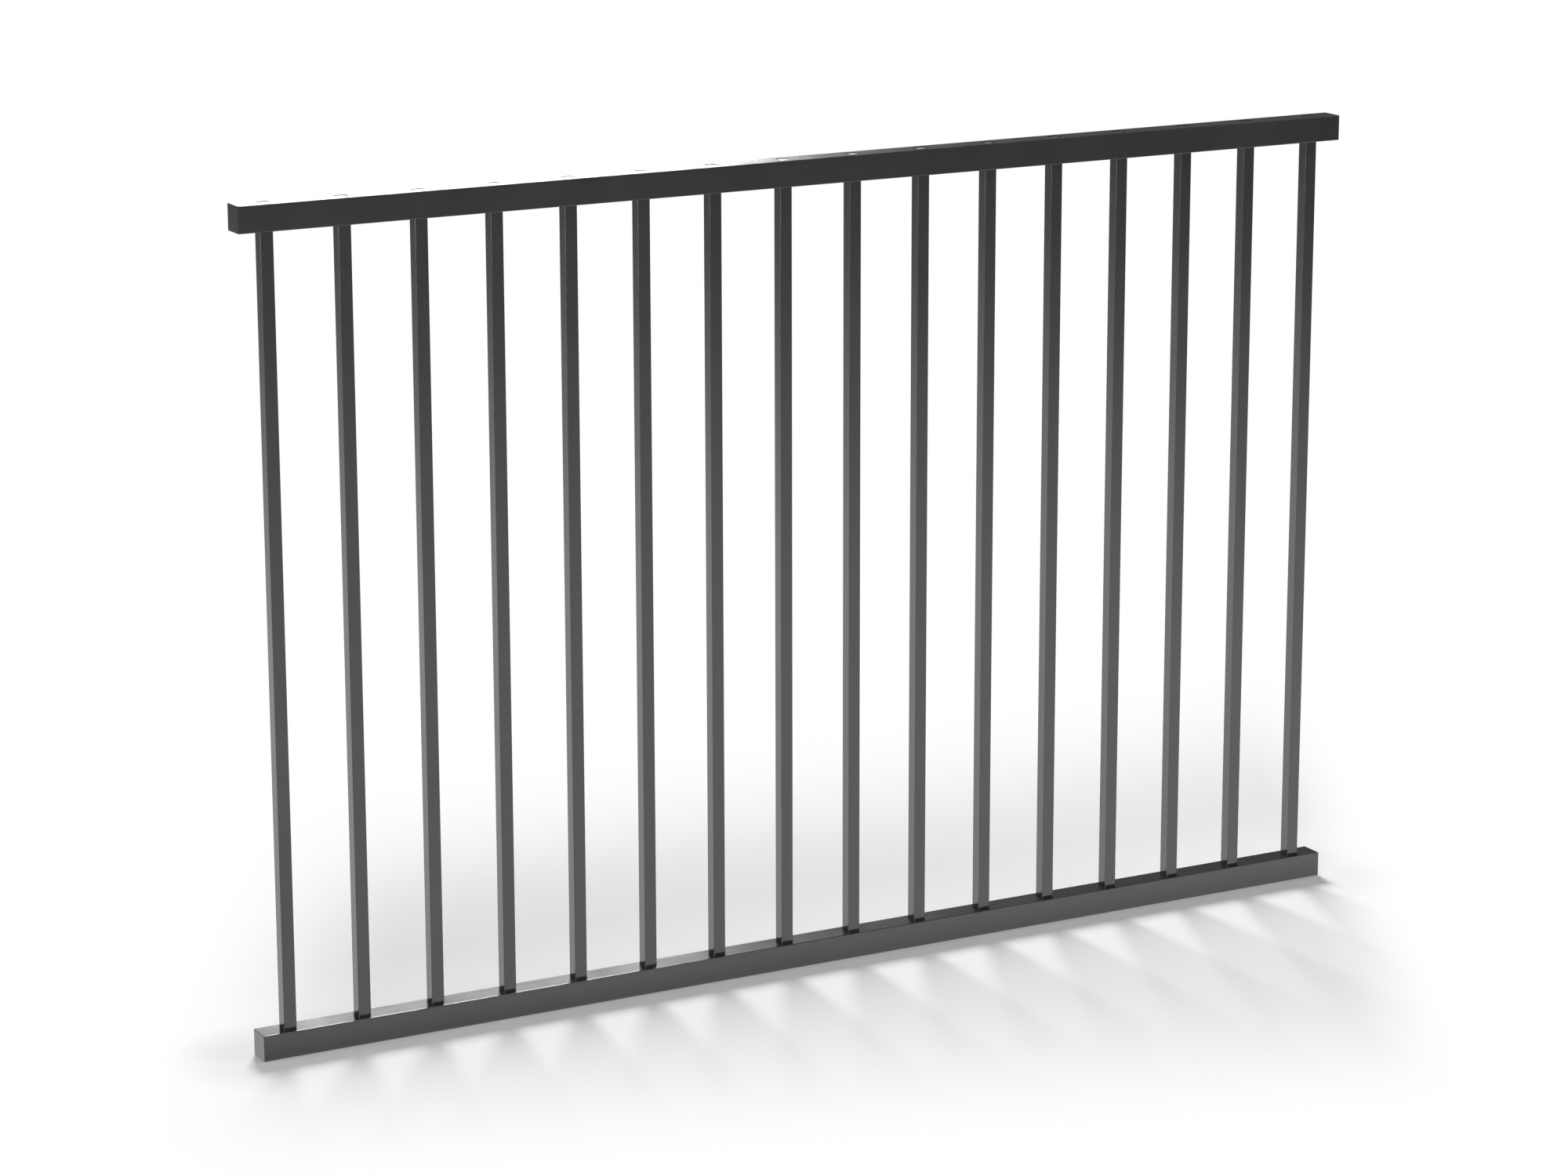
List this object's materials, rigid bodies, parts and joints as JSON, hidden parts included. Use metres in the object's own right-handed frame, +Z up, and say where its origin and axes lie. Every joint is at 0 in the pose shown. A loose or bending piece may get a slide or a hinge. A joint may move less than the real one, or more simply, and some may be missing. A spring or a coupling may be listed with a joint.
{
  "type": "metal fence panel",
  "caption": "Flat-topped picket fence panel: slim square tube pickets run through two punched square rails with plated ends, in gloss black powder coat.",
  "frame": {"origin": "centre of the bottom rail's underside", "axes": "+X along the panel to the right, +Y through it away from the viewer, +Z up"},
  "size_m": [1.8034, 0.0382, 1.2192],
  "materials": {
    "powder_coat": "gloss black powder coat on steel tube"
  },
  "bodies": {
    "root": {"bottom_rail": "powder_coat", "top_rail": "powder_coat", "bottom_rail_left_end_plate": "powder_coat", "bottom_rail_right_end_plate": "powder_coat", "top_rail_left_end_plate": "powder_coat", "top_rail_right_end_plate": "powder_coat", "picket_01": "powder_coat", "picket_02": "powder_coat", "picket_03": "powder_coat", "picket_04": "powder_coat", "picket_05": "powder_coat", "picket_06": "powder_coat", "picket_07": "powder_coat", "picket_08": "powder_coat", "picket_09": "powder_coat", "picket_10": "powder_coat", "picket_11": "powder_coat", "picket_12": "powder_coat", "picket_13": "powder_coat", "picket_14": "powder_coat", "picket_15": "powder_coat", "picket_16": "powder_coat"}
  },
  "joints": []
}
